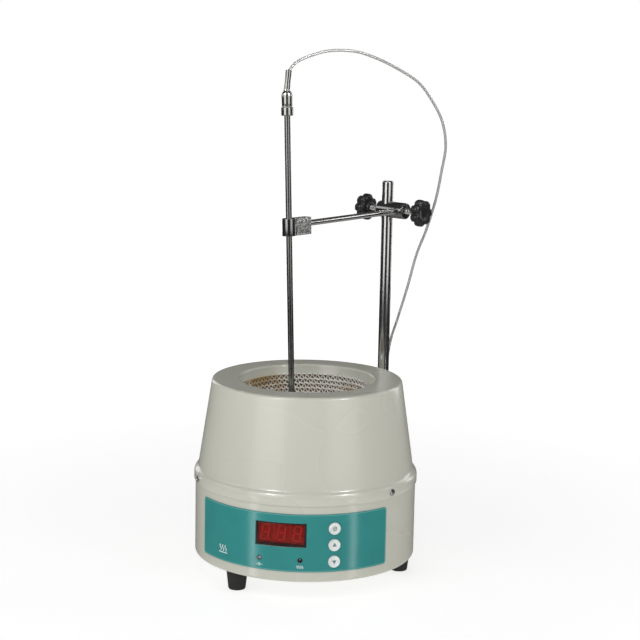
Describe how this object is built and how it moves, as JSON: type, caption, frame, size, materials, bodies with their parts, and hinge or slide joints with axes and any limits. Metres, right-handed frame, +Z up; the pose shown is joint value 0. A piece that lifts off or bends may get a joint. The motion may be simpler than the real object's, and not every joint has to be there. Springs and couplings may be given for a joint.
{
  "type": "heating mantle with stand rod and temperature probe",
  "caption": "Round-bottom flask heating mantle: enamelled drum and cone, knitted bowl, keypad and display, with a stand rod, boss head, side arm and clipped temperature probe on a braided lead.",
  "frame": {"origin": "at bench level, at the middle of the whole footprint, 8.5 mm behind the drum's axis, because the rod's clamp stands out behind the drum", "axes": "+Z up along the drum's axis; the front panel faces -Y; +X to the right of someone facing the panel"},
  "size_m": [0.2468, 0.3418, 0.538],
  "materials": {
    "body_enamel": "glossy stove enamel",
    "front_label": "satin printed film",
    "black_plastic": "moulded satin",
    "knob_plastic": "moulded, glossy",
    "display_window": "dark red, transparent",
    "digit_plastic": "moulded, with clear segments",
    "led_lens": "clear moulded dome",
    "button_plastic": "moulded, satin",
    "polished_steel": "polished stainless",
    "chrome": "bright plate",
    "foot_rubber": "matt",
    "glass_fibre": "knitted glass-fibre yarn",
    "insulation": "mineral wool",
    "heater_wire": "drawn resistance wire",
    "aluminium": "mill finish",
    "copper_winding": "varnished winding",
    "lamination": "stacked sheets",
    "circuit_board": "printed board",
    "boss_metal": "dark polished",
    "zinc_casting": "bright cast zinc",
    "lead_braid": "woven steel braid"
  },
  "bodies": {
    "base": {"lower_shell": "body_enamel", "upper_shell": "body_enamel", "panel_overlay": "front_label", "display_bezel": "black_plastic", "display_lens": "display_window", "digit_left": "digit_plastic", "digit_middle": "digit_plastic", "digit_right": "digit_plastic", "display_board": "circuit_board", "set_led": "led_lens", "heat_led": "led_lens", "heating_bowl": "glass_fibre", "heating_wire": "heater_wire", "insulation_bowl": "insulation", "bowl_pan": "aluminium", "chassis_plate": "aluminium", "transformer_core": "lamination", "transformer_winding": "copper_winding", "control_board": "circuit_board", "triac": "black_plastic", "heat_sink": "aluminium", "terminal_block": "button_plastic", "rear_panel": "body_enamel", "power_inlet": "black_plastic", "switch_frame": "black_plastic", "fuse_holder": "black_plastic", "sensor_socket": "chrome", "foot_1": "foot_rubber", "foot_2": "foot_rubber", "foot_3": "foot_rubber", "shell_screw_1": "chrome", "shell_screw_2": "chrome", "shell_screw_3": "chrome", "rod_bracket": "aluminium", "sensor_plug": "chrome", "lead_bench": "lead_braid"},
    "set_button": {"set_button": "button_plastic"},
    "up_button": {"up_button": "button_plastic"},
    "down_button": {"down_button": "button_plastic"},
    "power_rocker": {"power_rocker": "black_plastic"},
    "fuse_cap": {"fuse_cap": "black_plastic"},
    "plug_ring": {"plug_ring": "chrome"},
    "rod_set_screw": {"rod_set_screw": "chrome"},
    "stand": {"stand_rod": "polished_steel", "lead_riser": "lead_braid"},
    "boss": {"boss_head": "boss_metal", "lead_side": "lead_braid"},
    "rod_clamp": {"rod_clamp_knob": "knob_plastic", "rod_clamp_screw": "chrome"},
    "arm_clamp": {"arm_clamp_knob": "knob_plastic", "arm_clamp_screw": "chrome"},
    "arm": {"arm_rod": "polished_steel", "lead_bow": "lead_braid"},
    "clip": {"probe_clip": "zinc_casting", "clip_jaw": "boss_metal"},
    "probe": {"probe_tube": "polished_steel", "probe_collar": "polished_steel", "probe_sleeve": "polished_steel", "lead_top": "lead_braid"}
  },
  "joints": [
    {"name": "set_press", "type": "slide", "parent": "base", "child": "set_button", "axis": [-0.3955, 0.9184, 0], "range_m": [0, 0.0008], "stiffness_N_per_m": 300},
    {"name": "up_press", "type": "slide", "parent": "base", "child": "up_button", "axis": [-0.3955, 0.9184, 0], "range_m": [0, 0.0008], "stiffness_N_per_m": 300},
    {"name": "down_press", "type": "slide", "parent": "base", "child": "down_button", "axis": [-0.3955, 0.9184, 0], "range_m": [0, 0.0008], "stiffness_N_per_m": 300},
    {"name": "power_rock", "type": "hinge", "parent": "base", "child": "power_rocker", "pos_m": [0, 0.0929, 0.062], "axis": [1, 0, 0], "range_deg": [0, 16]},
    {"name": "fuse_turn", "type": "hinge", "parent": "base", "child": "fuse_cap", "pos_m": [-0.0175, 0.0925, 0.062], "axis": [0, 1, 0], "range_deg": [0, 45]},
    {"name": "ring_turn", "type": "hinge", "parent": "base", "child": "plug_ring", "pos_m": [-0.035, 0.1065, 0.062], "axis": [0, 1, 0], "continuous": true},
    {"name": "set_screw_turn", "type": "hinge", "parent": "base", "child": "rod_set_screw", "pos_m": [0.0677, 0.0945, 0.058], "axis": [0.5493, 0.8357, 0], "continuous": true},
    {"name": "rod_turn", "type": "hinge", "parent": "base", "child": "stand", "pos_m": [0.0677, 0.0945, 0.035], "axis": [0, 0, 1], "range_deg": [-15, 2], "deforming": ["lead_bench"]},
    {"name": "boss_height", "type": "slide", "parent": "stand", "child": "boss", "axis": [0, 0, 1], "range_m": [-0.003, 0.02], "deforming": ["lead_riser"]},
    {"name": "rod_clamp_turn", "type": "hinge", "parent": "boss", "child": "rod_clamp", "pos_m": [0.0677, 0.0945, 0.368], "axis": [-0.8251, 0.565, 0], "continuous": true},
    {"name": "arm_clamp_turn", "type": "hinge", "parent": "boss", "child": "arm_clamp", "pos_m": [0.08255, 0.08433, 0.368], "axis": [0.8251, -0.565, 0], "continuous": true},
    {"name": "arm_reach", "type": "slide", "parent": "boss", "child": "arm", "axis": [-0.5647, -0.8251, -0.0176], "range_m": [-0.035, 0.001], "deforming": ["lead_side"]},
    {"name": "clip_tilt", "type": "hinge", "parent": "arm", "child": "clip", "pos_m": [-0.0139, -0.0566, 0.365], "axis": [-0.5647, -0.8251, -0.0176], "range_deg": [-6, 0.5], "deforming": ["lead_bow"]},
    {"name": "probe_depth", "type": "slide", "parent": "clip", "child": "probe", "axis": [-0.036, 0.0246, 0.999], "range_m": [-0.003, 0.06], "deforming": ["lead_top"]}
  ]
}
